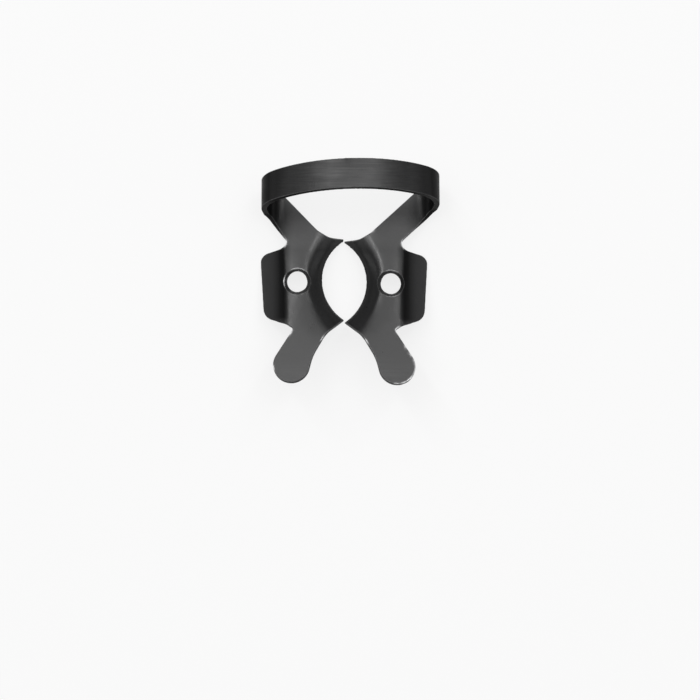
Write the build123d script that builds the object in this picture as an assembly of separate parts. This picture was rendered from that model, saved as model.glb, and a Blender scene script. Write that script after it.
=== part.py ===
# Winged molar rubber dam clamp, pressed and bent from one piece of spring steel sheet.
# Millimetres. The bow stands up along Z, the jaws lie toward -Y from it. Each side is drawn
# with x growing outward from the jaws' centre line. All surfaces here are the middle
# surface of the sheet, which is thickened by half its gauge to both sides.
from math import asin, cos, degrees, radians, sin, sqrt, tan
import os

from build123d import *

# sheet
sheet = 0.65

# bow, seen from the jaws
bow_half_span = 9.92
bow_rise = 10.2
crown_radius = 12.3
shoulder_radius = 4.75
curl_radius = 2.1
side_lean = 8.0
bow_front = 7.93
bow_rear = 11.43

# set of this clamp: bow to the right of the jaws and turned a little, right plate forward
bow_shift = 0.78
bow_turn = 1.5
right_forward = 0.3

# plates fall away outward from the jaws
plate_slope = 4.0

# arms: where their edges run into the bow, measured from the bow's centre
arm_inner_at_bow = 8.5
arm_outer_at_bow = 9.35
arm_corner_radius = 0.8
arm_root_out = 2.45
arm_root_radius = 2.8

# jaws: a flange folded down along an arc, its tooth edge reamed to a tighter arc
flange_bend_out = 4.85
flange_bend_radius = 9.07
flange_middle = 0.1
flange_fold_radius = 1.2
flange_angle = 40.0
flange_reach = 4.6
jaw_middle = 0.53
jaw_edge_out = 2.42
jaw_edge_radius = 5.65
jaw_edge_level = -1.85
jaw_ream_angle = 20.0
jaw_gap = 0.12
prong_rear = 5.4
prong_front = -3.9

# wings: folded down along a nearly straight line
wing_fold_radius = 1.2
wing_angle = 43.0
wing_bend_out = 6.52
wing_bend_turn = 3.5
wing_tip_out = 9.46
wing_tip_turn = 3.0
wing_rear = 3.92
wing_front = -3.6
wing_rear_corner = 0.85
wing_front_corner = 1.9

# notches that free the wings from arm and tab
rear_notch_past_bend = 0.12
rear_notch_radius = 0.85
front_notch_out = 5.77
front_notch = -5.6
front_notch_radius = 0.38

# rounded front tabs
tab_out = 6.05
tab_middle = -9.95
tab_radius = 2.1
tab_waist_out = 3.62
tab_waist = -8.9
tab_waist_radius = 6.0
tab_root_out = 2.3
tab_root = -6.65
tab_root_radius = 3.0

# forceps holes, drilled square to the plates
hole_radius = 1.33
hole_out = 5.4

# largest tilt tried when the clamp is laid down
steepest_rest = 30.0

half = sheet / 2
tall = 40.0


def rounded_outline(corners):
    """Face inside straight runs joined by an arc of the given radius at each corner."""
    arcs = []
    for i, (x, y, radius) in enumerate(corners):
        corner = Vector(x, y)
        before = (Vector(*corners[i - 1][:2]) - corner).normalized()
        after = (Vector(*corners[(i + 1) % len(corners)][:2]) - corner).normalized()
        opening = radians(before.get_angle(after)) / 2
        reach = radius / tan(opening)
        inward = (before + after).normalized()
        nearest = corner + inward * (radius / sin(opening) - radius)
        arcs.append((corner + before * reach, nearest, corner + after * reach))
    edges = []
    for i, (start, nearest, end) in enumerate(arcs):
        if (end - start).length > 1e-6:
            edges.append(Edge.make_three_point_arc(start, nearest, end))
        edges.append(Edge.make_line(end, arcs[(i + 1) % len(arcs)][0]))
    inside = Face(Wire(edges))
    return inside if inside.normal_at().Z > 0 else -inside


def touch(point, centre, radius, turn):
    """Where a line from the point touches the circle, on its left (1) or right (-1)."""
    way = centre - point
    swing = degrees(asin(radius / way.length))
    line = way.normalized().rotate(Axis.Z, turn * swing)
    return point + line * sqrt(way.length**2 - radius**2)


def bow_points(shift):
    """Joints and middles of the tangent arcs of half the bow, as (x, z) vectors."""
    crown = Vector(shift, bow_rise - crown_radius)
    sine = (bow_half_span - shoulder_radius) / (crown_radius - shoulder_radius)
    to_joint = Vector(sine, sqrt(1 - sine**2))
    shoulder = crown + to_joint * (crown_radius - shoulder_radius)
    outward = Vector(cos(radians(side_lean)), -sin(radians(side_lean)))
    down = Vector(outward.Y, -outward.X)
    side_top = shoulder + outward * shoulder_radius
    run = (side_top.Y - curl_radius * (1 + outward.Y)) / -down.Y
    side_foot = side_top + down * run
    curl = side_foot - outward * curl_radius
    under = Vector(-sin(radians(plate_slope)), -cos(radians(plate_slope)))
    points = {}
    points["top"] = crown + Vector(0, crown_radius)
    points["crown"] = crown + (Vector(0, 1) + to_joint).normalized() * crown_radius
    points["joint"] = crown + to_joint * crown_radius
    points["shoulder"] = shoulder + (to_joint + outward).normalized() * shoulder_radius
    points["side_top"] = side_top
    points["side_foot"] = side_foot
    points["curl"] = curl + (outward + under).normalized() * curl_radius
    points["curl_end"] = curl + under * curl_radius
    return points


def upright(point):
    """The (x, z) vector as a point at the back of the bow's stock."""
    return Vector(point.X, tall / 2, point.Y)


def ruled(edge):
    """Surface swept by an edge along the length of the clamp."""
    return Face.extrude(edge, (0, -tall, 0))


def thick(surface, stock):
    """Sheet solids on the part of a middle surface that lies inside the stock."""
    kept = surface & stock
    pieces = []
    for face in kept.faces():
        pieces += thicken(face, amount=half, both=True).solids()
    return pieces


def edge_y(base, x, hand):
    """Line across the bow, turned with it; x is outward on the given hand."""
    return base + hand * x * tan(radians(bow_turn))


def rear_notch_middle(forward):
    """Centre of the round end of the rear notch, which ends just inside the bend line."""
    y = wing_rear + rear_notch_radius
    bend = wing_bend_out + y * tan(radians(wing_bend_turn))
    return Vector(bend - rear_notch_past_bend + rear_notch_radius, y - forward)


def side_outline(hand, forward):
    """Plan of one arm, plate, jaw flange, wing and tab, before folding."""
    shift = hand * bow_shift
    inner = arm_inner_at_bow + shift
    outer = arm_outer_at_bow + shift
    beyond = bow_half_span + 2 * curl_radius
    tip_rear = wing_tip_out + wing_rear * tan(radians(wing_tip_turn))
    tip_front = wing_tip_out + wing_front * tan(radians(wing_tip_turn))
    arm_corner = Vector(outer, edge_y(bow_front, outer, hand))
    rear_notch = rear_notch_middle(forward)
    arm_outer_side = touch(arm_corner, rear_notch, rear_notch_radius, -1)
    notch = Vector(front_notch_out, front_notch - forward)
    waist = Vector(tab_waist_out, tab_waist - forward)
    lobe = Vector(tab_out, tab_middle - forward)
    tab_outer_side = touch(notch, lobe, tab_radius, 1)
    tab_inner_side = touch(waist, lobe, tab_radius, -1)
    corners = [
        (inner, edge_y(bow_rear, inner, hand), 0),
        (beyond, edge_y(bow_rear, beyond, hand), 0),
        (beyond, edge_y(bow_front, beyond, hand), 0),
        (arm_corner.X, arm_corner.Y, arm_corner_radius),
        (arm_outer_side.X, arm_outer_side.Y, 0),
        (rear_notch.X, wing_rear - forward, 0),
        (tip_rear, wing_rear - forward, wing_rear_corner),
        (tip_front, wing_front - forward, wing_front_corner),
        (notch.X, notch.Y, front_notch_radius),
        (tab_outer_side.X, tab_outer_side.Y, 0),
        (tab_inner_side.X, tab_inner_side.Y, 0),
        (waist.X, waist.Y, tab_waist_radius),
        (tab_root_out, tab_root - forward, tab_root_radius),
        (0, prong_front - forward, 0),
        (0, prong_rear - forward, 0),
        (arm_root_out, prong_rear - forward, arm_root_radius),
    ]
    tab = Pos(lobe.X, lobe.Y, 0) * Circle(tab_radius)
    round_end = Pos(rear_notch.X, rear_notch.Y, 0) * Circle(rear_notch_radius)
    return (rounded_outline(corners) + tab - round_end).face()


def flange_surfaces(forward):
    """Fold and cone of a jaw flange, turned about the centre of its bend line."""
    centre_x = flange_bend_out - flange_bend_radius
    centre = Vector(centre_x, flange_middle - forward, 0)
    axis = Axis(centre, (0, 0, 1))
    angle = radians(flange_angle)
    fold_in = flange_fold_radius * sin(angle)
    fold_down = flange_fold_radius * (1 - cos(angle))
    half_in = flange_fold_radius * sin(angle / 2)
    half_down = flange_fold_radius * (1 - cos(angle / 2))
    start = centre + Vector(flange_bend_radius, 0, 0)
    middle = start - Vector(half_in, 0, half_down)
    end = start - Vector(fold_in, 0, fold_down)
    edge = end - Vector(flange_reach * cos(angle), 0, flange_reach * sin(angle))
    fold = Edge.make_three_point_arc(start, middle, end)
    slope = Edge.make_line(end, edge)
    return [Face.revolve(line, 150, axis).rotate(axis, -75) for line in (fold, slope)]


def wing_surfaces(forward):
    """Fold and flat of a wing, swept along its bend line."""
    angle = radians(wing_angle)
    start = Vector(0, 0, 0)
    half_out = wing_fold_radius * sin(angle / 2)
    half_down = wing_fold_radius * (1 - cos(angle / 2))
    end = Vector(wing_fold_radius * sin(angle), 0, -wing_fold_radius * (1 - cos(angle)))
    far = end + Vector(cos(angle), 0, -sin(angle)) * 8
    fold = Edge.make_three_point_arc(start, Vector(half_out, 0, -half_down), end)
    flat = Edge.make_line(end, far)
    place = Location((wing_bend_out, -forward, 0), (0, 0, -wing_bend_turn))
    swept = []
    for line in (fold, flat):
        swept.append(place * Pos(0, tall / 2, 0) * ruled(line))
    return swept


def wing_zone(forward):
    """Ground outside the wing's bend line and between its two notches."""
    rear = wing_rear + rear_notch_radius - forward
    front = front_notch - forward
    lean = tan(radians(wing_bend_turn))
    at_rear = wing_bend_out + (rear + forward) * lean
    at_front = wing_bend_out + (front + forward) * lean
    corners = [(at_rear, rear), (at_front, front), (tall, front), (tall, rear)]
    return Face(Wire.make_polygon([Vector(*c) for c in corners]))


def behind_notch(forward):
    """Ground on the bow's side of the rear notch."""
    rear = wing_rear + rear_notch_radius - forward
    return Pos(0, rear + tall / 2, 0) * Rectangle(tall * 2, tall)


def stock(outline):
    """Tall block over a plan outline."""
    return extrude(Pos(0, 0, -tall / 2) * outline, tall, (0, 0, 1))


def plate_side(hand, forward):
    """Arm, plate, tab, wing and jaw of one side in the plane of its plate."""
    shift = hand * bow_shift
    outline = side_outline(hand, forward)
    bend_centre = flange_bend_out - flange_bend_radius
    disc = Pos(bend_centre, flange_middle - forward, 0) * Circle(flange_bend_radius)
    wing = wing_zone(forward)
    end = bow_points(shift)["curl_end"]
    arm_end = end.X / cos(radians(plate_slope))
    curled = Pos(arm_end + tall / 2, 0, 0) * Rectangle(tall, tall * 2) & behind_notch(forward)
    pieces = []
    flat = outline - disc - wing - curled
    for face in flat.faces():
        pieces += thicken(face, amount=half, both=True).solids()
    for surface in flange_surfaces(forward):
        pieces += thick(surface, stock(outline & disc))
    for surface in wing_surfaces(forward):
        pieces += thick(surface, stock(outline & wing))
    return pieces


def onto_bow(shift):
    """Place of the plate's plane so that it runs on from the end of the curl."""
    end = bow_points(shift)["curl_end"]
    rise = end.Y + end.X * tan(radians(plate_slope))
    return Location((0, 0, rise), (0, plate_slope, 0))


def curled_side(hand, forward):
    """Curl and upright side of the bow, cut to the plan of the arm."""
    points = bow_points(hand * bow_shift)
    names = ("curl_end", "curl", "side_foot")
    arc = Edge.make_three_point_arc(*[upright(points[n]) for n in names])
    arm = side_outline(hand, forward) & behind_notch(forward)
    return thick(ruled(arc), onto_bow(hand * bow_shift) * stock(arm))


def bow_strip(hand):
    """Half of the arch above the curl, between the turned front and rear lines."""
    points = bow_points(hand * bow_shift)
    side = Edge.make_line(upright(points["side_foot"]), upright(points["side_top"]))
    names = ("side_top", "shoulder", "joint")
    shoulder = Edge.make_three_point_arc(*[upright(points[n]) for n in names])
    names = ("joint", "crown", "top")
    crown = Edge.make_three_point_arc(*[upright(points[n]) for n in names])
    near = hand * bow_shift - 1
    beyond = bow_half_span + 2 * curl_radius
    corners = [
        Vector(near, edge_y(bow_front, near, hand)),
        Vector(beyond, edge_y(bow_front, beyond, hand)),
        Vector(beyond, edge_y(bow_rear, beyond, hand)),
        Vector(near, edge_y(bow_rear, near, hand)),
    ]
    block = stock(Face(Wire.make_polygon(corners)))
    pieces = []
    for edge in (side, shoulder, crown):
        pieces += thick(ruled(edge), block)
    return pieces


def reamer(forward):
    """Cone that cuts the tooth edge of a jaw, wider toward the top."""
    flare = tan(radians(jaw_ream_angle))
    below = jaw_edge_radius - flare * 3
    above = jaw_edge_radius + flare * 5
    cone = Cone(below, above, 8, align=(Align.CENTER, Align.CENTER, Align.MIN))
    return Pos(jaw_edge_out - jaw_edge_radius, jaw_middle - forward, jaw_edge_level - 3) * cone


def one_side(hand):
    """Everything of one side, left or right, outward along +X."""
    forward = right_forward if hand > 0 else 0.0
    place = onto_bow(hand * bow_shift)
    pieces = [place * piece for piece in plate_side(hand, forward)]
    pieces += curled_side(hand, forward)
    pieces += bow_strip(hand)
    body = pieces[0].fuse(*pieces[1:])
    hole = place * Pos(hole_out, -forward, 0) * Cylinder(hole_radius, 6 * sheet)
    gap = Pos(jaw_gap / 2 - tall / 2, -tall / 2 + prong_rear + 1, -tall / 2 + 1)
    return body - hole - reamer(forward) - gap * Box(tall, tall, tall)


def lowest(shape, tilt):
    """Height of the lowest point once the shape is tilted with its rear end down."""
    return (Rot(-tilt, 0, 0) * shape).bounding_box().min.Z


def rest_tilt(body):
    """Tilt at which the wings and the bow's curls stand on one level."""
    cut = Box(tall * 2, tall, tall * 2)
    front = body & Pos(0, wing_rear + rear_notch_radius - tall / 2, 0) * cut
    rear = body & Pos(0, bow_front + tall / 2, 0) * cut
    low, high = 0.0, steepest_rest
    while high - low > 0.02:
        tilt = (low + high) / 2
        if lowest(front, tilt) < lowest(rear, tilt):
            low = tilt
        else:
            high = tilt
    return (low + high) / 2


def clamp():
    """The whole clamp as one solid, lying as it comes to rest on the ground."""
    body = one_side(1).fuse(mirror(one_side(-1), Plane.YZ)).solids()
    whole = body[0]
    laid = Rot(-rest_tilt(whole), 0, 0) * whole
    box = laid.bounding_box()
    return Pos(-box.center().X, -box.center().Y, -box.min.Z) * laid


if __name__ == "__main__":
    os.makedirs("parts", exist_ok=True)
    export_step(clamp(), "parts/dam_clamp.step")
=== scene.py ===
import math

import bpy
import numpy as np
from bpy.props import FloatProperty, FloatVectorProperty, IntProperty, PointerProperty
from bpy.types import Operator, Panel, PropertyGroup
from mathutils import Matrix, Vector


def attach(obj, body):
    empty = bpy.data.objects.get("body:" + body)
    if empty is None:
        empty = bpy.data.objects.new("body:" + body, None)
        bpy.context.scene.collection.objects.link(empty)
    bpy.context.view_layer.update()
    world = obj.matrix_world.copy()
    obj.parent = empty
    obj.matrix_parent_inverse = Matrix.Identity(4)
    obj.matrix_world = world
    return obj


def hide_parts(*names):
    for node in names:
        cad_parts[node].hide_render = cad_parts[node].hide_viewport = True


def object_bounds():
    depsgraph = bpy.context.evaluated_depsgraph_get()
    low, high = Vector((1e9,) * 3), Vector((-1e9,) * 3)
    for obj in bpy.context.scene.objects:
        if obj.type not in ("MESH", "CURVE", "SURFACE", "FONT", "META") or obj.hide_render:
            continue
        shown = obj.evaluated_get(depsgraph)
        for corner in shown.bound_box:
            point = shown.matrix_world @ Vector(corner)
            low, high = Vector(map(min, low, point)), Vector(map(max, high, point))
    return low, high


bl_info = {
    "name": "Rubber Dam Clamp",
    "version": (1, 0, 0),
    "blender": (4, 5, 0),
    "location": "3D View > Sidebar > Clamp",
    "description": "Shows a winged rubber dam clamp in satin black spring steel",
    "category": "Object",
}

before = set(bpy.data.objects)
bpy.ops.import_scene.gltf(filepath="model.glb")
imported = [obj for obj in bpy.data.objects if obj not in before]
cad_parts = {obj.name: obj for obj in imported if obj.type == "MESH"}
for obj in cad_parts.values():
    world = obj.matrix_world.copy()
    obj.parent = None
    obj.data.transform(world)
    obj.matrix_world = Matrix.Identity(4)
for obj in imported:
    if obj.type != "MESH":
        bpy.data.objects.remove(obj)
CAD_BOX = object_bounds()

MM_PER_METRE = 1000
METRES_PER_MM = 0.001
TINY = 1e-9

# Sheet. Lengths are in millimetres.
SEAM_DIGITS = 4             # corners that agree to this many digits are one corner
SMOOTH_STEPS = (0.5, -0.52)  # shares of the way to the neighbours' mean, forth and back
HALVINGS = 4                # times that the long edges are cut in half
LAST_SMOOTHING = 2          # rounds of smoothing after that
SHORTEST = 0.06             # an edge shorter than this says nothing of the curvature
SECTORS = 36                # directions around a hole in which the sheet's level is taken
WALL = 0.05                 # the hole's wall lies within this of its radius
HOLE_DEPTH = 1.5            # the sheet lies within this of the hole's middle
DISH_TOP = 5.0              # the dished wings lie below this
CURVE_ROUNDS = 6            # rounds of averaging of the curvature
SHARP = 1.6                 # curvature per millimetre from which normals stay as they are
NORMAL_STEP = 0.5           # share of the way to the neighbours' mean normal in a pass
ENOUGH = 0.5                # sum of the neighbours' weights below which a normal stays

# Rubbed edges. An edge begins at one curvature per millimetre and is full after the span.
EDGE_FROM, EDGE_SPAN = 1.2, 3.0
WEAR_ROUNDS, WEAR_GAIN = 2, 1.7
WEAR_EVERYWHERE = 0.15

# Where forceps and dam rubbed the edges bright: x, y and size in millimetres.
RUBBED = (
    (-7.40, 3.43, 0.5), (6.14, 3.31, 0.5), (-5.93, 0.49, 0.7), (-7.46, -0.84, 0.5),
    (-6.1, -2.57, 0.7), (4.84, 0.24, 0.6), (4.9, -2.75, 0.7), (-6.73, -6.89, 0.4),
    (-3.0, -7.6, 0.35), (1.73, -7.98, 0.35), (2.63, 4.8, 0.3), (-8.84, -10.86, 0.3),
    (5.5, -6.57, 0.35), (6.1, -8.67, 0.3), (6.68, -9.6, 0.35), (7.14, -10.5, 0.5),
    (7.2, -11.2, 0.5), (6.8, -12.1, 0.5), (6.1, -12.76, 0.45), (5.3, -12.9, 0.35),
)

# Painted light and shade: shade beside the wings' bends and in the curls, sheen toward the wings'
# tips, light on the arms. Where each sets in, and over how many millimetres it grows.
SHEEN = ((0.7, 1.55, 2.0, 3.0, 4.2), (1.0, 0.1, 0.2, 1.1, 2.0))  # way from the hole, sheen
WING_FADE = 0.5
WING_TOP = 5.2
CURL_SIDE, CURL_SIDE_SPAN = 7.0, 1.4
CURL_BACK, CURL_BACK_SPAN = 3.2, 1.5
CURL_SHADE = 0.55
ARM_BACK, ARM_BACK_SPAN = 2.6, 2.6
ARM_SIDE, ARM_SIDE_SPAN = 8.3, 1.8
ARM_TOP = 6.5

# Patterns of the coat, in repeats a metre, and the range of a pattern that is used.
PATCHES = {"Scale": 420.0, "Detail": 6.0, "Roughness": 0.6}
GRAIN = {"Scale": 5200.0, "Detail": 4.0}
GRAIN_BUMP = {"Strength": 0.08, "Distance": 0.00002}
BRUSHING = {"Scale": 1.0, "Detail": 3.0}
BRUSHING_STRETCH = (160.0, 5200.0, 900.0)
BRUSHING_RANGE, BRUSHING_GLOSS = (0.35, 0.65), (1.1, 1.5)
BOW_LEVEL = (0.0065, 0.0085)  # metres above the floor between which the brushing sets in
WEAR_RANGE, WEAR_LEAST = (0.35, 0.7), 0.35
ROUGH_RANGE, ROUGH_LESS, ROUGH_MORE = (0.3, 0.7), 0.06, 0.08
LEAST_SHEEN = 0.03

# Stage. Lengths are in metres; a lamp stands at its direction times the distance.
FLOOR_SIZE = 3.0
FLOOR_COLOUR = (0.9, 0.9, 0.9, 1)
FLOOR_ROUGHNESS = 0.9
LAMP_DISTANCE = 0.9
LAMP_AIM = (0, 0, 0)
OVERHEAD_WAY, OVERHEAD_SIZE = (0.0, 0.54, 0.83), (0.62, 0.72)
ZENITH_WAY, ZENITH_SIZE = (0.0, 0.13, 0.94), (1.3, 0.42)
SIDE_OUT, SIDE_UP, SIDE_SIZE = 0.95, 0.28, (0.5, 0.25)
STRIP_BACK, STRIP_UP, STRIP_SIZE = 0.545, 0.838, (0.07, 0.6)
SENSOR_MM, PICTURE_PIXELS = 36.0, 700.0
NEAREST, FARTHEST = 0.01, 10.0


def mm(label, default):
    """A size in millimetres."""
    return FloatProperty(name=label, description=label + ", in millimetres", default=default)


def degrees(label, default):
    """An angle in degrees."""
    return FloatProperty(name=label, description=label + ", in degrees", default=default)


def plain(label, description, default):
    """A number without a unit."""
    return FloatProperty(name=label, description=description, default=default)


def point(label, default):
    """A point in millimetres."""
    return FloatVectorProperty(name=label, description=label + ", in millimetres",
                               size=3, default=default)


def colour(label, description, default):
    """A colour."""
    return FloatVectorProperty(name=label, description=description,
                               subtype="COLOR", size=3, default=default)


class ClampShape(PropertyGroup):
    """How the edges of the sheet are rounded, and how its wings and holes are drawn."""

    voxel: mm("Grid on which the edges are rounded", 0.05)
    smoothing: IntProperty(name="Smoothing rounds", description="Rounds of smoothing", default=4)
    keep: plain("Share kept", "Share of the fine triangles kept", 0.12)
    longest: mm("Longest edge of a triangle", 0.3)
    soft_passes: IntProperty(name="Softening of the bends", description="Passes of averaging",
                             default=260)
    gauge: mm("Sheet gauge", 0.65)
    hole_radius: mm("Forceps hole radius", 1.33)
    bow_middle: mm("Middle of the bow", 0.1)
    hollow: mm("Depth of the wings' dish", 0.12)
    wing_start: mm("From the hole to the wing's bend", 1.6)
    wing_end: mm("From the hole to the wing's tip", 4.2)
    wing_half: mm("Half the wing's length", 4.6)
    wing_slope: degrees("Slope of the wings", 45.0)
    flare: mm("Widening of the hole's rim at the top", 0.2)
    oval: mm("Lengthening of the hole toward the bow", 0.08)
    flare_reach: mm("How far from the hole the rim is drawn", 0.7)
    hole_right: point("Middle of the right hole", (4.712, -1.274, 3.755))
    hole_left: point("Middle of the left hole", (-6.062, -1.018, 3.565))
    axis: FloatVectorProperty(name="Hole axis", description="Direction of the right hole",
                              size=3, default=(0.06976, 0.2831, 0.95655))


class ClampFinish(PropertyGroup):
    """Colours and gloss of the steel, with its painted light and shade."""

    flat: colour("Satin black", "Colour of the oxide", (0.016, 0.016, 0.0164))
    # Painted light: a paler colour on the arms, where the bow keeps the light off them.
    arm_painted_light: colour("Rubbed arms", "Colour of the rubbed coat", (0.085, 0.085, 0.086))
    worn: colour("Worn edge", "Colour of rubbed edges", (0.95, 0.95, 0.96))
    rough: plain("Roughness", "Roughness of the satin faces", 0.32)
    bow_rough: plain("Brushing", "Roughness added on the bow", 0.13)
    # Painted shade: the share of the black that is left where the painted shade is darkest.
    darkest_painted_shade: plain("Dull coat", "Share of the colour left where it is dullest", 0.4)
    sheen: plain("Sheen", "Specular level seen square on", 0.6)
    sheen_end: plain("Sheen's end", "Facing at which the sheen is gone", 0.47)


class ClampStage(PropertyGroup):
    """Floor, lights and camera."""

    distance: mm("Camera distance", 400.0)
    scale: plain("Pixels per millimetre", "At the plates", 8.679)
    lean: degrees("Lean of the camera toward the bow", 0.55)
    roll: degrees("Roll of the camera", -0.19)
    aim: point("Point at the picture's middle", (0.0, -8.9, 3.5))
    overhead: plain("Overhead light", "Radiance of the soft box", 1.25)
    zenith: plain("Zenith light", "Radiance of the box above", 1.9)
    sides: plain("Side lights", "Radiance of the low boxes", 1.2)
    strip_left: plain("Left strip", "Radiance of the left strip", 13.0)
    strip_right: plain("Right strip", "Radiance of the right strip", 9.0)
    swing: degrees("Swing of the strips to each side", 22.0)
    sky: plain("Room light", "Strength of the world", 0.1)
    paper: plain("White of the floor", "Share of plain white", 0.8)


def rows(items, name, width, kind=float):
    """One value of each item of a mesh, as rows of that width."""
    values = np.empty(len(items) * width, kind)
    items.foreach_get(name, values)
    return values.reshape(-1, width)


def mesh_arrays(mesh):
    """Points and triangles of a mesh."""
    mesh.calc_loop_triangles()
    return rows(mesh.vertices, "co", 3), rows(mesh.loop_triangles, "vertices", 3, int)


def merged(node):
    """Points in millimetres and triangles of a CAD node, with the seams between faces closed."""
    points, tris = mesh_arrays(node.data)
    points = points * MM_PER_METRE
    _, first, back = np.unique(np.round(points, SEAM_DIGITS), axis=0,
                               return_index=True, return_inverse=True)
    tris = back.reshape(-1)[tris]
    whole = (tris[:, 0] != tris[:, 1]) & (tris[:, 1] != tris[:, 2]) & (tris[:, 0] != tris[:, 2])
    return points[first], tris[whole]


def with_modifier(points, faces, kind, **settings):
    """The mesh that one modifier makes of these points and faces."""
    mesh = bpy.data.meshes.new("work")
    mesh.from_pydata([tuple(p) for p in points], [], [tuple(int(i) for i in f) for f in faces])
    obj = bpy.data.objects.new("work", mesh)
    bpy.context.scene.collection.objects.link(obj)
    modifier = obj.modifiers.new("work", kind)
    for name, value in settings.items():
        setattr(modifier, name, value)
    graph = bpy.context.evaluated_depsgraph_get()
    made = bpy.data.meshes.new_from_object(obj.evaluated_get(graph))
    bpy.data.objects.remove(obj)
    bpy.data.meshes.remove(mesh)
    return made


def relaxed(points, edges, rounds):
    """Points smoothed without shrinking: a step to the neighbours' mean, then a longer one back."""
    near, far = np.concatenate([edges, edges[:, ::-1]]).T
    count = np.bincount(near, minlength=len(points))[:, None]
    for step in SMOOTH_STEPS * rounds:
        total = [np.bincount(near, points[far, k], len(points)) for k in range(3)]
        points = points + step * (np.stack(total, 1) / count - points)
    return points


def sides_of(tris):
    """Both ends of each triangle's three sides, in its own direction."""
    return np.concatenate([tris[:, [0, 1]], tris[:, [1, 2]], tris[:, [2, 0]]])


def split_long(verts, tris, longest):
    """The same surface with each edge that is longer than that cut in half.

    A triangle becomes two, three or four, by the number of its edges that are cut. Its corners
    a, b and c are first turned so that the cuts p, q and r lie on the edges ab, bc and ca.
    """
    sides = np.stack([tris, tris[:, [1, 2, 0]]], 2)
    unique, index = np.unique(np.sort(sides, axis=2).reshape(-1, 2), axis=0, return_inverse=True)
    length = np.linalg.norm(verts[unique[:, 0]] - verts[unique[:, 1]], axis=1)
    middle = np.full(len(unique), -1)
    cut = length > longest
    middle[cut] = len(verts) + np.arange(cut.sum())
    verts = np.concatenate([verts, verts[unique[cut]].mean(axis=1)])
    cuts = middle[index.ravel()].reshape(-1, 3)
    number = (cuts >= 0).sum(1)
    turn = np.where(number == 1, np.argmax(cuts >= 0, axis=1), (np.argmin(cuts, axis=1) + 1) % 3)
    order = (turn[:, None] + np.arange(3)) % 3
    a, b, c = np.take_along_axis(tris, order, 1).T
    p, q, r = np.take_along_axis(cuts, order, 1).T
    one, two, three = (number == k for k in (1, 2, 3))
    parts = [
        tris[number == 0],
        np.stack([a, p, c], 1)[one], np.stack([p, b, c], 1)[one],
        np.stack([p, b, q], 1)[two], np.stack([a, p, q], 1)[two], np.stack([a, q, c], 1)[two],
        np.stack([a, p, r], 1)[three], np.stack([p, b, q], 1)[three],
        np.stack([r, q, c], 1)[three], np.stack([p, q, r], 1)[three],
    ]
    return verts, np.concatenate(parts)


def without_doubles(verts, tris):
    """The surface without pairs of triangles that share all corners, and without loose points."""
    _, same, times = np.unique(np.sort(tris, axis=1), axis=0,
                               return_inverse=True, return_counts=True)
    used, tris = np.unique(tris[times[same.ravel()] == 1], return_inverse=True)
    return verts[used], tris.reshape(-1, 3)


def point_normals(verts, tris):
    """At each point, the sum of the normals of its triangles by area, at length one."""
    first, second, third = verts[tris[:, 0]], verts[tris[:, 1]], verts[tris[:, 2]]
    across = np.cross(second - first, third - first)
    total = [np.bincount(tris.ravel(), np.repeat(across[:, k], 3), len(verts)) for k in range(3)]
    normals = np.stack(total, 1)
    return normals / np.maximum(np.linalg.norm(normals, axis=1), TINY)[:, None]


def clamp_mesh(g, node):
    """The clamp with its edges rounded, as points, triangles and normals.

    The sheet is laid out on a fine grid and smoothed, which rounds its edges by about two grid
    steps. Flat places then give up most of their triangles, and long edges are cut again.
    """
    points, tris = merged(node)
    fine = with_modifier(points, tris, "REMESH", mode="VOXEL", voxel_size=g.voxel)
    points = relaxed(rows(fine.vertices, "co", 3), rows(fine.edges, "vertices", 2, int),
                     g.smoothing)
    light = with_modifier(points, rows(fine.polygons, "vertices", 4, int), "DECIMATE",
                          decimate_type="COLLAPSE", ratio=g.keep)
    verts, tris = without_doubles(*mesh_arrays(light))
    for _ in range(HALVINGS):
        verts, tris = split_long(verts, tris, g.longest)
    sides = sides_of(tris)
    verts = relaxed(verts, sides[sides[:, 0] < sides[:, 1]], LAST_SMOOTHING)
    return verts, tris, point_normals(verts, tris)


def hands(g):
    """The right and the left side: 1 or -1, and the middle of the hole."""
    return (1, np.array(g.hole_right)), (-1, np.array(g.hole_left))


def flared_holes(points, g):
    """Rims of the forceps holes drawn outward at the top and inward underneath.

    At the distance d from the hole's axis, and h above the middle of the sheet there, a point
    moves outward by (flare * 2 h / gauge + oval * sin^2) * (1 - (d - r) / reach)^2, where sin is
    that of its direction from the axis, and sideways so that the wall stands upright.
    """
    result = points.copy()
    for hand, centre in hands(g):
        axis = np.array([hand * g.axis[0], g.axis[1], g.axis[2]])
        axis /= np.linalg.norm(axis)
        away = points - centre
        height = away @ axis
        radial = away - height[:, None] * axis
        d = np.linalg.norm(radial, axis=1)
        near = (d < g.hole_radius + g.flare_reach) & (np.abs(height) < HOLE_DEPTH)
        turn = np.arctan2(radial[:, 1], radial[:, 0])
        sector = np.round(turn / (math.tau / SECTORS)).astype(int) % SECTORS
        level = np.zeros(SECTORS)
        wall = near & (d < g.hole_radius + WALL)
        for k in range(SECTORS):
            here = height[wall & (sector == k)]
            if here.size:
                level[k] = (here.max() + here.min()) / 2
        share = np.clip((height - level[sector]) * 2 / g.gauge, -1, 1)
        fade = np.clip(1 - (d - g.hole_radius) / g.flare_reach, 0, 1) ** 2
        move = fade * (g.flare * share + g.oval * np.sin(turn) ** 2)
        upright = -(fade * share * g.gauge / 2)[:, None] * np.array([axis[0], axis[1], 0]) / axis[2]
        result[near] += (radial / np.maximum(d, TINY)[:, None] * move[:, None] + upright)[near]
    return result


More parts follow.
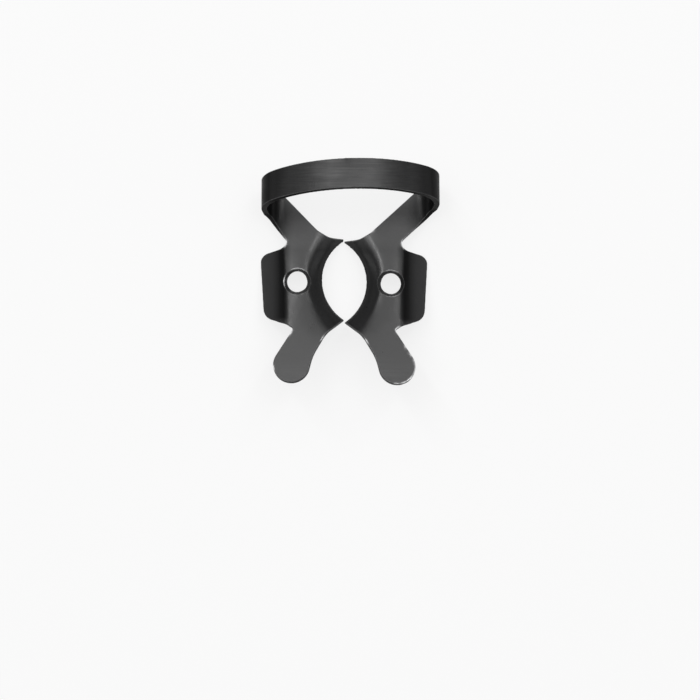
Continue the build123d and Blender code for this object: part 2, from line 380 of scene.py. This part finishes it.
def hollow_wings(points, normals, g):
    """Points and normals of wings a little dished, steeper by the bend than at the tip.

    At the share t of the way from the bend to the tip, a point sinks by hollow * 4 t (1 - t)
    square to the wing, and its normal leans by the slope of that curve.
    """
    result, turned = points.copy(), normals.copy()
    slope, width = math.radians(g.wing_slope), g.wing_end - g.wing_start
    for hand, hole in hands(g):
        out = (points[:, 0] - hole[0]) * hand
        along = points[:, 1] - hole[1]
        t = np.clip((out - g.wing_start) / width, 0, 1)
        inside = (out > g.wing_start) & (np.abs(along) < g.wing_half) & (points[:, 2] < DISH_TOP)
        square = np.array([hand * math.sin(slope), 0.0, math.cos(slope)])
        result -= (g.hollow * 4 * t * (1 - t) * inside)[:, None] * square
        lean = -g.hollow * 4 * (1 - 2 * t) / width * math.cos(slope) * inside
        down = np.array([hand * math.cos(slope), 0.0, -math.sin(slope)])
        facing = turned @ square
        facing = np.clip(np.abs(facing) * 2 - 1, 0, 1) * np.sign(facing)
        turned -= (lean * facing)[:, None] * down
    return result, turned / np.linalg.norm(turned, axis=1)[:, None]


def curvature(points, tris, normals):
    """How sharply the surface turns outward at each point, per millimetre.

    The curvature along an edge of the mesh from p to q is 2 n . (p - q) / |p - q|^2.
    """
    near, far = sides_of(tris).T
    p, q = points[near], points[far]
    gap = np.maximum(((p - q) ** 2).sum(1), SHORTEST ** 2)
    turn = 2 * (normals[near] * (p - q)).sum(1) / gap
    count = np.bincount(near, minlength=len(points))
    return np.bincount(near, turn, len(points)) / np.maximum(count, 1)


def edge_wear(points, tris, curve):
    """How bright each point is rubbed: faint on every edge, wide and full at the rubbed places."""
    edge = np.clip((curve - EDGE_FROM) / EDGE_SPAN, 0, 1)
    near, far = sides_of(tris).T
    count = np.maximum(np.bincount(near, minlength=len(points)), 1)
    wide = edge
    for _ in range(WEAR_ROUNDS):
        wide = np.maximum(wide, WEAR_GAIN * np.bincount(near, wide[far], len(points)) / count)
    place = np.zeros(len(points))
    for x, y, size in RUBBED:
        distance_squared = (points[:, 0] - x) ** 2 + (points[:, 1] - y) ** 2
        place = np.maximum(place, np.exp(-distance_squared / size ** 2))
    return np.clip(np.maximum(WEAR_EVERYWHERE * edge, wide * place), 0, 1)


def soft_normals(tris, normals, curve, passes):
    """Normals averaged with their neighbours', so that the bends shade softly.

    A point gives and takes less the more sharply the surface turns there, so the sheet's edges
    stay crisp.
    """
    near, far = sides_of(tris).T
    size = len(normals)
    count = np.maximum(np.bincount(near, minlength=size), 1)
    for _ in range(CURVE_ROUNDS):
        curve = (curve + np.bincount(near, curve[far], size) / count) / 2
    weight = np.clip(SHARP - np.abs(curve), 0, 1) ** 2
    share = np.bincount(near, weight[far], size)
    step = NORMAL_STEP * weight * (share > ENOUGH)
    result = normals.copy()
    for _ in range(passes):
        for k in range(3):
            around = np.bincount(near, weight[far] * result[far, k], size) / np.maximum(share, TINY)
            result[:, k] += step * (around - result[:, k])
        result /= np.linalg.norm(result, axis=1)[:, None]
    return result


def painted_sheen_and_shade(points, g):
    """Painted sheen and shade: duller and darker by the wings' bends and in the curls, brighter
    toward the wings' tips.

    On the wings it runs through the pairs of distance from the hole and sheen in SHEEN.
    """
    result = np.ones(len(points))
    for hand, hole in hands(g):
        out = (points[:, 0] - hole[0]) * hand
        along = np.abs(points[:, 1] - hole[1])
        inside = np.clip((g.wing_half - along) / WING_FADE, 0, 1)
        inside *= (points[:, 2] < WING_TOP) * (out > 0)
        result += inside * (np.interp(out, *SHEEN) - 1)
    curl = np.clip((np.abs(points[:, 0] - g.bow_middle) - CURL_SIDE) / CURL_SIDE_SPAN, 0, 1)
    curl *= np.clip((points[:, 1] - CURL_BACK) / CURL_BACK_SPAN, 0, 1)
    return result * (1 - CURL_SHADE * curl)


def painted_light_on_arms(points, g):
    """Painted light that lightens the arms: from 0 on the plates to 1 on the arms, none in the
    curls.
    """
    rise = np.clip((points[:, 1] - ARM_BACK) / ARM_BACK_SPAN, 0, 1)
    side = np.clip((ARM_SIDE - np.abs(points[:, 0] - g.bow_middle)) / ARM_SIDE_SPAN, 0, 1)
    return rise * side * (points[:, 2] < ARM_TOP)


def add_mesh(name, verts, faces, normals, values):
    """A smooth mesh object at the origin, from millimetres, with its normals and point values."""
    mesh = bpy.data.meshes.new(name)
    corners = [tuple(int(i) for i in face) for face in faces]
    mesh.from_pydata([tuple(v) for v in verts * METRES_PER_MM], [], corners)
    mesh.shade_smooth()
    for key, value in values.items():
        layer = mesh.attributes.new(key, "FLOAT", "POINT")
        layer.data.foreach_set("value", value.astype(np.float32))
    mesh.normals_split_custom_set_from_vertices([tuple(n) for n in normals])
    obj = bpy.data.objects.new(name, mesh)
    bpy.context.scene.collection.objects.link(obj)
    return obj


def set_inputs(tree, node, inputs):
    """Sets each input of a shader node to a value, or joins it to another node's output."""
    for name, value in inputs.items():
        if isinstance(value, bpy.types.NodeSocket):
            tree.links.new(value, node.inputs[name])
        else:
            node.inputs[name].default_value = value


def add_node(tree, kind, output, inputs, **settings):
    """The named output of a new shader node with these inputs."""
    node = tree.nodes.new("ShaderNode" + kind)
    for name, value in settings.items():
        setattr(node, name, value)
    set_inputs(tree, node, inputs)
    return node.outputs[output]


def computed(tree, operation, *terms):
    """The result of an operation on the terms."""
    return add_node(tree, "Math", "Value", dict(enumerate(terms)), operation=operation)


def carried(tree, value, source, target):
    """The value carried from one range to another, and kept inside it."""
    return add_node(tree, "MapRange", "Result", {
        "Value": value, "From Min": source[0], "From Max": source[1],
        "To Min": target[0], "To Max": target[1]})


def blended(tree, share, first, second, kind="RGBA"):
    """The first value where the share is 0, the second where it is 1."""
    return add_node(tree, "Mix", "Result", {"Factor": share, "A": first, "B": second},
                    data_type=kind)


def point_value(tree, name):
    """A value that the mesh holds at its points."""
    return add_node(tree, "Attribute", "Fac", {}, attribute_name=name)


def steel_material(finish):
    """Satin black oxide on spring steel, rubbed bright on the edges, with painted light on the arms
    and painted shade and sheen on the wings and in the curls.
    """
    mat = bpy.data.materials.new("spring_steel")
    mat.use_nodes = True
    tree = mat.node_tree
    place = add_node(tree, "TexCoord", "Object", {})
    patches = add_node(tree, "TexNoise", "Fac", {"Vector": place, **PATCHES})
    grain = add_node(tree, "TexNoise", "Fac", {"Vector": place, **GRAIN})
    stretched = add_node(tree, "Mapping", "Vector", {"Vector": place, "Scale": BRUSHING_STRETCH})
    brushing = add_node(tree, "TexNoise", "Fac", {"Vector": stretched, **BRUSHING})
    height = add_node(tree, "SeparateXYZ", "Z", {"Vector": place})
    on_bow = carried(tree, height, BOW_LEVEL, (0, 1))

    # Painted shade: the black is darkened beside the wings' bends and in the curls.
    painted_shade_share = carried(tree, point_value(tree, "sheen"), (0, 1), (finish.darkest_painted_shade, 1))
    black = blended(tree, painted_shade_share, (0, 0, 0, 1), (*finish.flat, 1))
    # Painted light: the arms are lightened toward a paler colour.
    with_arm_painted_light = blended(tree, point_value(tree, "arm_painted_light"), black, (*finish.arm_painted_light, 1))
    broken = carried(tree, patches, WEAR_RANGE, (WEAR_LEAST, 1))
    worn = computed(tree, "MULTIPLY", point_value(tree, "edge_wear"), broken)

    facing = add_node(tree, "LayerWeight", "Facing", {})
    sheen = carried(tree, facing, (0, finish.sheen_end), (finish.sheen, LEAST_SHEEN))
    # Painted sheen: the specular level is raised toward the wings' tips and lowered beside their
    # bends and in the curls.
    level = computed(tree, "MULTIPLY", sheen, point_value(tree, "sheen"))
    streaks = carried(tree, brushing, BRUSHING_RANGE, BRUSHING_GLOSS)
    streaked = blended(tree, on_bow, 1.0, streaks, "FLOAT")
    rough = carried(tree, patches, ROUGH_RANGE,
                    (finish.rough - ROUGH_LESS, finish.rough + ROUGH_MORE))

    set_inputs(tree, tree.nodes["Principled BSDF"], {
        "Base Color": blended(tree, worn, with_arm_painted_light, (*finish.worn, 1)),
        "Metallic": worn,
        "Roughness": computed(tree, "MULTIPLY_ADD", on_bow, finish.bow_rough, rough),
        "Specular IOR Level": computed(tree, "MULTIPLY", level, streaked),
        "Normal": add_node(tree, "Bump", "Normal", {"Height": grain, **GRAIN_BUMP}),
    })
    return mat


def whiten(tree, shader, share):
    """Lets the camera, and mirror images, see a share of plain white in a surface."""
    seen = computed(tree, "MAXIMUM", *(add_node(tree, "LightPath", name, {})
                                       for name in ("Is Camera Ray", "Is Glossy Ray")))
    glow = add_node(tree, "Emission", "Emission", {})
    mixed = add_node(tree, "MixShader", "Shader", {
        "Fac": computed(tree, "MULTIPLY", seen, share), 1: shader.outputs["BSDF"], 2: glow})
    set_inputs(tree, tree.nodes["Material Output"], {"Surface": mixed})


def add_floor(s):
    """A plain pale floor."""
    bpy.ops.mesh.primitive_plane_add(size=FLOOR_SIZE, location=(0, 0, 0))
    floor = bpy.context.object
    floor.name = "floor"
    mat = bpy.data.materials.new("floor")
    mat.use_nodes = True
    tree = mat.node_tree
    shader = tree.nodes["Principled BSDF"]
    set_inputs(tree, shader, {"Base Color": FLOOR_COLOUR, "Roughness": FLOOR_ROUGHNESS})
    whiten(tree, shader, s.paper)
    floor.data.materials.append(mat)


def area_lamp(name, way, size, radiance):
    """Rectangular light in a direction, turned to the clamp, of that radiance."""
    data = bpy.data.lights.new(name, "AREA")
    data.shape = "RECTANGLE"
    data.size, data.size_y = size
    data.energy = radiance * math.pi * size[0] * size[1]
    lamp = bpy.data.objects.new(name, data)
    lamp.location = np.array(way) * LAMP_DISTANCE
    lamp.rotation_mode = "QUATERNION"
    aim = Vector(np.array(LAMP_AIM) - np.array(way) * LAMP_DISTANCE)
    lamp.rotation_quaternion = aim.to_track_quat("-Z", "Y")
    bpy.context.scene.collection.objects.link(lamp)


def add_lamps(s):
    """Two soft boxes above, a low one at each side, and two strips that light the bends."""
    area_lamp("overhead", OVERHEAD_WAY, OVERHEAD_SIZE, s.overhead)
    area_lamp("zenith", ZENITH_WAY, ZENITH_SIZE, s.zenith)
    for name, side, radiance in (("left", -1, s.strip_left), ("right", 1, s.strip_right)):
        area_lamp("side_" + name, (side * SIDE_OUT, 0.0, SIDE_UP), SIDE_SIZE, s.sides)
        swing = side * math.radians(s.swing)
        way = (math.sin(swing), STRIP_BACK * math.cos(swing), STRIP_UP * math.cos(swing))
        area_lamp("strip_" + name, way, STRIP_SIZE, radiance)


def add_room_light(s):
    """Faint even light from all around."""
    world = bpy.data.worlds.new("studio")
    world.use_nodes = True
    set_inputs(world.node_tree, world.node_tree.nodes["Background"],
               {"Color": (1, 1, 1, 1), "Strength": s.sky})
    bpy.context.scene.world = world


def add_camera(s):
    """Camera high above the clamp, which looks almost straight down."""
    data = bpy.data.cameras.new("camera")
    data.sensor_width = SENSOR_MM
    data.lens = s.scale * s.distance * SENSOR_MM / PICTURE_PIXELS
    data.clip_start, data.clip_end = NEAREST, FARTHEST
    camera = bpy.data.objects.new("camera", data)
    lean, roll = math.radians(s.lean), math.radians(s.roll)
    back = Vector((0, math.sin(lean), math.cos(lean)))
    camera.location = (Vector(s.aim) + back * s.distance) * METRES_PER_MM
    camera.rotation_euler = (-lean, 0, roll)
    scene = bpy.context.scene
    scene.collection.objects.link(camera)
    scene.camera = camera
    scene.view_settings.view_transform = "Standard"


class CLAMP_OT_clamp(Operator):
    """Builds the clamp's bent sheet with rounded edges"""

    bl_idname = "dam_clamp.clamp"
    bl_label = "Clamp"

    def execute(self, context):
        g = context.scene.clamp_shape
        points, tris, normals = clamp_mesh(g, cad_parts["dam_clamp"])
        curve = curvature(points, tris, normals)
        wear = edge_wear(points, tris, curve)
        normals = soft_normals(tris, normals, curve, g.soft_passes)
        points, normals = hollow_wings(flared_holes(points, g), normals, g)
        points = np.clip(points, CAD_BOX[0] * MM_PER_METRE, CAD_BOX[1] * MM_PER_METRE)
        # Point values: rubbed edges, painted sheen and shade, and painted light on the arms.
        values = {"edge_wear": wear, "sheen": painted_sheen_and_shade(points, g), "arm_painted_light": painted_light_on_arms(points, g)}
        obj = add_mesh("clamp_sheet", points, tris, normals, values)
        obj.data.materials.append(steel_material(context.scene.clamp_finish))
        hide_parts("dam_clamp")
        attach(obj, "root")
        return {"FINISHED"}


class CLAMP_OT_stage(Operator):
    """Sets up floor, lights and camera"""

    bl_idname = "dam_clamp.stage"
    bl_label = "Stage"

    def execute(self, context):
        stage = context.scene.clamp_stage
        for add in (add_floor, add_lamps, add_room_light, add_camera):
            add(stage)
        return {"FINISHED"}


class CLAMP_PT_panel(Panel):
    """Sizes and steps of the clamp"""

    bl_idname = "CLAMP_PT_panel"
    bl_label = "Rubber Dam Clamp"
    bl_space_type = "VIEW_3D"
    bl_region_type = "UI"
    bl_category = "Clamp"

    def draw(self, context):
        column = self.layout.column()
        scene = context.scene
        for group in (scene.clamp_shape, scene.clamp_finish, scene.clamp_stage):
            for name in group.__annotations__:
                column.prop(group, name)
        column.operator("dam_clamp.clamp")
        column.operator("dam_clamp.stage")


CLASSES = (ClampShape, ClampFinish, ClampStage, CLAMP_OT_clamp, CLAMP_OT_stage, CLAMP_PT_panel)


def register():
    """Adds the classes, and their settings to the scene."""
    for cls in CLASSES:
        bpy.utils.register_class(cls)
    bpy.types.Scene.clamp_shape = PointerProperty(type=ClampShape)
    bpy.types.Scene.clamp_finish = PointerProperty(type=ClampFinish)
    bpy.types.Scene.clamp_stage = PointerProperty(type=ClampStage)


def unregister():
    """Removes the classes and the settings."""
    del bpy.types.Scene.clamp_stage
    del bpy.types.Scene.clamp_finish
    del bpy.types.Scene.clamp_shape
    for cls in reversed(CLASSES):
        bpy.utils.unregister_class(cls)


def main():
    """Builds the whole scene."""
    register()
    bpy.ops.dam_clamp.clamp()
    bpy.ops.dam_clamp.stage()
    bpy.context.view_layer.update()


if __name__ == "__main__":
    main()
